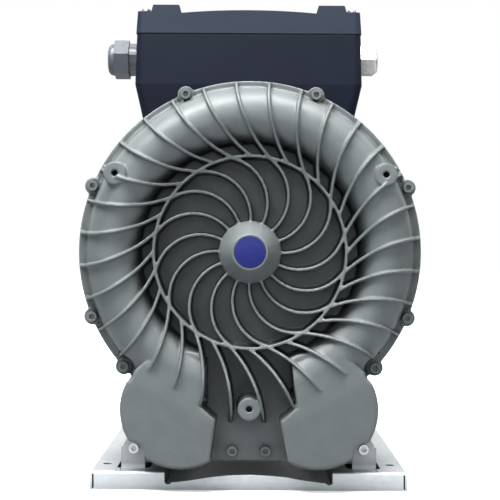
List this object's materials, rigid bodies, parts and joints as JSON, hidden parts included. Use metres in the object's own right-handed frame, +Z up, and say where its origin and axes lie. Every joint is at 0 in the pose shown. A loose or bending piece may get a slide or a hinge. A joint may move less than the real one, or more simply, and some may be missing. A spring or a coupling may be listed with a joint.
{
  "type": "side channel blower",
  "caption": "Side channel blower with a spiral-ribbed cast cover, twin silencers, a finned motor, a terminal box and a folded sheet steel base.",
  "frame": {"origin": "on the floor, under the middle of the overall width and length", "axes": "+Z up, the shaft along Y, the ribbed cover faces -Y and the motor's fan cover +Y, +X to the right seen from the cover side"},
  "size_m": [0.34, 0.344, 0.4986],
  "materials": {
    "casing_paint": "satin",
    "badge_blue": "gloss",
    "zinc_screws": "satin",
    "painted_screws": "satin",
    "galvanised_sheet": "satin",
    "silencer_paint": "satin",
    "acoustic_foam": "matte",
    "motor_paint": "satin",
    "electrical_steel": "matte",
    "copper_winding": "satin",
    "raw_aluminium": "satin",
    "shaft_steel": "gloss",
    "bearing_steel": "gloss",
    "spring_steel": "satin",
    "seal_rubber": "matte",
    "fan_plastic": "matte",
    "fan_cover_paint": "satin",
    "box_paint": "satin",
    "gasket_rubber": "matte",
    "terminal_plastic": "matte",
    "stud_brass": "gloss",
    "gland_plastic": "satin",
    "gland_nickel": "gloss"
  },
  "bodies": {
    "blower": {"front_cover": "casing_paint", "housing": "casing_paint", "hub_badge": "badge_blue", "cover_screws": "painted_screws", "apron_screws": "painted_screws", "base_plate": "galvanised_sheet", "front_tab_screws": "zinc_screws", "rear_tab_screws": "zinc_screws", "silencer_left": "silencer_paint", "silencer_right": "silencer_paint", "silencer_insert_left": "acoustic_foam", "silencer_insert_right": "acoustic_foam", "port_flange_left": "silencer_paint", "port_flange_right": "silencer_paint", "silencer_screws": "zinc_screws", "port_flange_screws": "zinc_screws", "motor_frame": "motor_paint", "stator_core": "electrical_steel", "stator_winding": "copper_winding", "rear_end_shield": "motor_paint", "tie_rods": "zinc_screws", "fan_cover": "fan_cover_paint", "fan_cover_screws": "zinc_screws", "preload_spring": "spring_steel", "front_bearing_outer_ring": "bearing_steel", "rear_bearing_outer_ring": "bearing_steel", "front_shaft_seal": "seal_rubber", "rear_shaft_seal": "seal_rubber", "box_base": "box_paint", "box_lid": "box_paint", "lid_gasket": "gasket_rubber", "lid_screws": "zinc_screws", "box_floor_screws": "zinc_screws", "terminal_block": "terminal_plastic", "terminal_studs": "stud_brass", "gland_body_left": "gland_plastic", "gland_nut_left": "gland_plastic", "gland_seal_left": "seal_rubber", "gland_locknut_left": "gland_plastic", "gland_body_right": "gland_nickel", "gland_nut_right": "gland_nickel", "gland_seal_right": "seal_rubber", "gland_locknut_right": "gland_nickel"},
    "rotor": {"shaft": "shaft_steel", "impeller": "raw_aluminium", "impeller_key": "shaft_steel", "spacer_sleeve": "shaft_steel", "bearing_circlip": "spring_steel", "rotor_core": "raw_aluminium", "cooling_fan": "fan_plastic", "fan_clip": "spring_steel", "front_bearing_inner_ring": "bearing_steel", "rear_bearing_inner_ring": "bearing_steel"},
    "front_ball_set": {"front_bearing_balls": "bearing_steel"},
    "rear_ball_set": {"rear_bearing_balls": "bearing_steel"}
  },
  "joints": [
    {"name": "rotor_spin", "type": "hinge", "parent": "blower", "child": "rotor", "pos_m": [0, -0.122, 0.235], "axis": [0, 1, 0], "continuous": true},
    {"name": "front_cage_spin", "type": "hinge", "parent": "blower", "child": "front_ball_set", "pos_m": [0, -0.122, 0.235], "axis": [0, 1, 0], "continuous": true},
    {"name": "rear_cage_spin", "type": "hinge", "parent": "blower", "child": "rear_ball_set", "pos_m": [0, -0.122, 0.235], "axis": [0, 1, 0], "continuous": true}
  ],
  "couplings": [
    {"joint": "front_cage_spin", "follows": "rotor_spin", "ratio": 0.4},
    {"joint": "rear_cage_spin", "follows": "rotor_spin", "ratio": 0.4}
  ]
}
